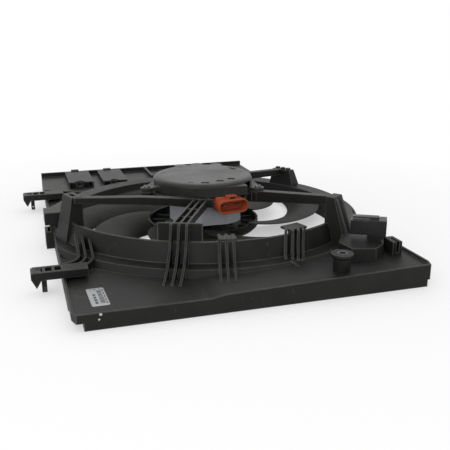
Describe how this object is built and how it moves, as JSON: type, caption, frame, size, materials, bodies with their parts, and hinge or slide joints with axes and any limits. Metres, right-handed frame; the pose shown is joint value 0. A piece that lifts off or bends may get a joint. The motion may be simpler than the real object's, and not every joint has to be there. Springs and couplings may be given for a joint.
{
  "type": "radiator fan shroud",
  "caption": "Moulded radiator fan shroud with a wide-bladed electric cooling fan, its brushless motor on swept arms, plug sockets, side clips and vent plates.",
  "frame": {"origin": "middle of the underside of the bounding box: Z = 0 is the radiator side, on which the shroud lies. The fan axis is vertical at X = 0.015 m, Y = -0.005 m.", "axes": "+Z is the engine side, away from the radiator and along the fan axis; +Y runs along the long side, towards the panel with the vent plates; +X is across, away from the side clips"},
  "size_m": [0.5065, 0.65, 0.087],
  "materials": {
    "black_moulding": "fine grained glass-filled polypropylene",
    "cover_plastic": "matt grey-black polyamide",
    "fan_plastic": "smooth moulded polyamide",
    "cast_aluminium": "fine as-cast",
    "bearing_steel": "ground",
    "shaft_steel": "ground",
    "core_steel": "stacked laminations",
    "plated_steel": "zinc plated",
    "magnet": "sintered, nickel plated",
    "copper": "enamelled copper wire",
    "board": "solder mask",
    "capacitor": "sleeved can",
    "transistor": "moulded epoxy",
    "seal_rubber": "moulded silicone",
    "orange_plastic": "moulded polyester",
    "terminal_tin": "tin plated copper",
    "socket_plastic": "moulded polyamide",
    "label_film": "silver polyester film"
  },
  "bodies": {
    "shroud": {"fan_ring": "black_moulding", "panel_near": "black_moulding", "panel_far": "black_moulding", "ring_towers": "black_moulding", "motor_carrier": "black_moulding", "motor_arms": "black_moulding", "side_clips": "black_moulding", "corner_boss": "black_moulding", "corner_pedestal": "black_moulding", "corner_lug": "black_moulding", "rest_tab": "black_moulding", "motor_housing": "cast_aluminium", "stator_core": "core_steel", "stator_windings": "copper", "lower_bearing": "bearing_steel", "upper_bearing": "bearing_steel", "upper_bearing_plate": "cast_aluminium", "controller_board": "board", "board_capacitors": "capacitor", "board_transistors": "transistor", "cover_gasket": "seal_rubber", "motor_cover": "cover_plastic", "ear_screws": "plated_steel", "cover_screws": "plated_steel", "power_connector": "orange_plastic", "power_terminals": "terminal_tin", "signal_pins": "terminal_tin", "side_connector": "socket_plastic", "side_connector_pins": "terminal_tin", "left_vent_plate": "black_moulding", "right_vent_plate": "black_moulding", "boss_bush": "plated_steel", "label": "label_film"},
    "rotor": {"fan_impeller": "fan_plastic", "hub_insert": "plated_steel", "hub_washer": "plated_steel", "hub_nut": "plated_steel", "motor_shaft": "shaft_steel", "rotor_core": "core_steel", "rotor_magnets": "magnet"}
  },
  "joints": [
    {"name": "fan_spin", "type": "hinge", "parent": "shroud", "child": "rotor", "pos_m": [0.01525, -0.005, 0.012], "axis": [0, 0, 1], "continuous": true}
  ]
}
